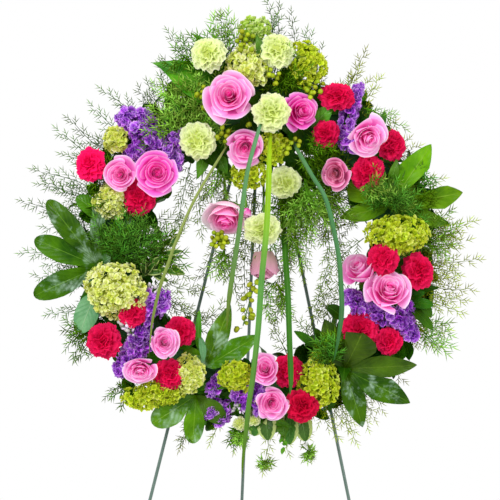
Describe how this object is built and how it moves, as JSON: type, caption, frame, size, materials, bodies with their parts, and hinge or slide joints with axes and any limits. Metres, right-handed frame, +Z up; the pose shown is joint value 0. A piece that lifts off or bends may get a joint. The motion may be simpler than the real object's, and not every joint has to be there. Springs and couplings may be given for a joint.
{
  "type": "standing funeral wreath on an easel",
  "caption": "Round floral tribute of mixed flowers and ferns on a foam ring, hung from a folding three-legged wire easel.",
  "frame": {"origin": "on the floor under the middle of the bounding box", "axes": "+Z up; the flowers face -Y, the rear leg reaches towards +Y; +X is to the right of a viewer in front"},
  "size_m": [0.8578, 0.5935, 1.55],
  "materials": {
    "green_painted_steel": "satin paint",
    "green_plastic": "matt",
    "floral_foam": "open foam, rough",
    "tie_wire": "enamelled wire",
    "pink_rose": "soft petals",
    "lime_carnation": "soft frilled petals",
    "red_carnation": "soft frilled petals",
    "lime_hydrangea": "clustered florets",
    "purple_stock": "clustered florets",
    "glossy_leaf": "glossy leaf",
    "grass_blade": "smooth leaf",
    "fern": "feathery"
  },
  "bodies": {
    "wreath_and_front_legs": {"apex_hub": "green_painted_steel", "backing_tray": "green_plastic", "cross_brace": "green_painted_steel", "fatsia_leaf_left": "glossy_leaf", "fatsia_leaf_lower_left": "glossy_leaf", "fatsia_leaf_lower_right": "glossy_leaf", "fatsia_leaf_middle": "glossy_leaf", "fatsia_leaf_upper_right": "glossy_leaf", "fern_collar": "fern", "foam_ring": "floral_foam", "front_left_leg": "green_painted_steel", "front_right_leg": "green_painted_steel", "hinge_pin": "green_painted_steel", "hydrangea_1": "lime_hydrangea", "hydrangea_2": "lime_hydrangea", "hydrangea_3": "lime_hydrangea", "hydrangea_4": "lime_hydrangea", "hydrangea_5": "lime_hydrangea", "hydrangea_6": "lime_hydrangea", "lily_grass_1": "grass_blade", "lily_grass_2": "grass_blade", "lime_carnation_1": "lime_carnation", "lime_carnation_2": "lime_carnation", "lime_carnation_3": "lime_carnation", "lime_carnation_4": "lime_carnation", "lime_carnation_5": "lime_carnation", "lime_carnation_6": "lime_carnation", "red_carnation_1": "red_carnation", "red_carnation_11": "red_carnation", "red_carnation_14": "red_carnation", "red_carnation_16": "red_carnation", "red_carnation_2": "red_carnation", "red_carnation_3": "red_carnation", "red_carnation_6": "red_carnation", "red_carnation_7": "red_carnation", "red_carnation_8": "red_carnation", "red_carnation_9": "red_carnation", "rose_1": "pink_rose", "rose_10": "pink_rose", "rose_11": "pink_rose", "rose_12": "pink_rose", "rose_13": "pink_rose", "rose_14": "pink_rose", "rose_15": "pink_rose", "rose_2": "pink_rose", "rose_3": "pink_rose", "rose_4": "pink_rose", "rose_5": "pink_rose", "rose_6": "pink_rose", "rose_7": "pink_rose", "rose_8": "pink_rose", "rose_9": "pink_rose", "stock_1": "purple_stock", "stock_2": "purple_stock", "stock_3": "purple_stock", "stock_4": "purple_stock", "tie_wire_left": "tie_wire", "tie_wire_right": "tie_wire", "wreath_hook": "green_painted_steel"},
    "rear_leg": {"rear_leg": "green_painted_steel"}
  },
  "joints": [
    {"name": "rear_leg_hinge", "type": "hinge", "parent": "wreath_and_front_legs", "child": "rear_leg", "pos_m": [0, 0.02149, 1.33785], "axis": [1, 0, 0], "range_deg": [-21, 0]}
  ]
}
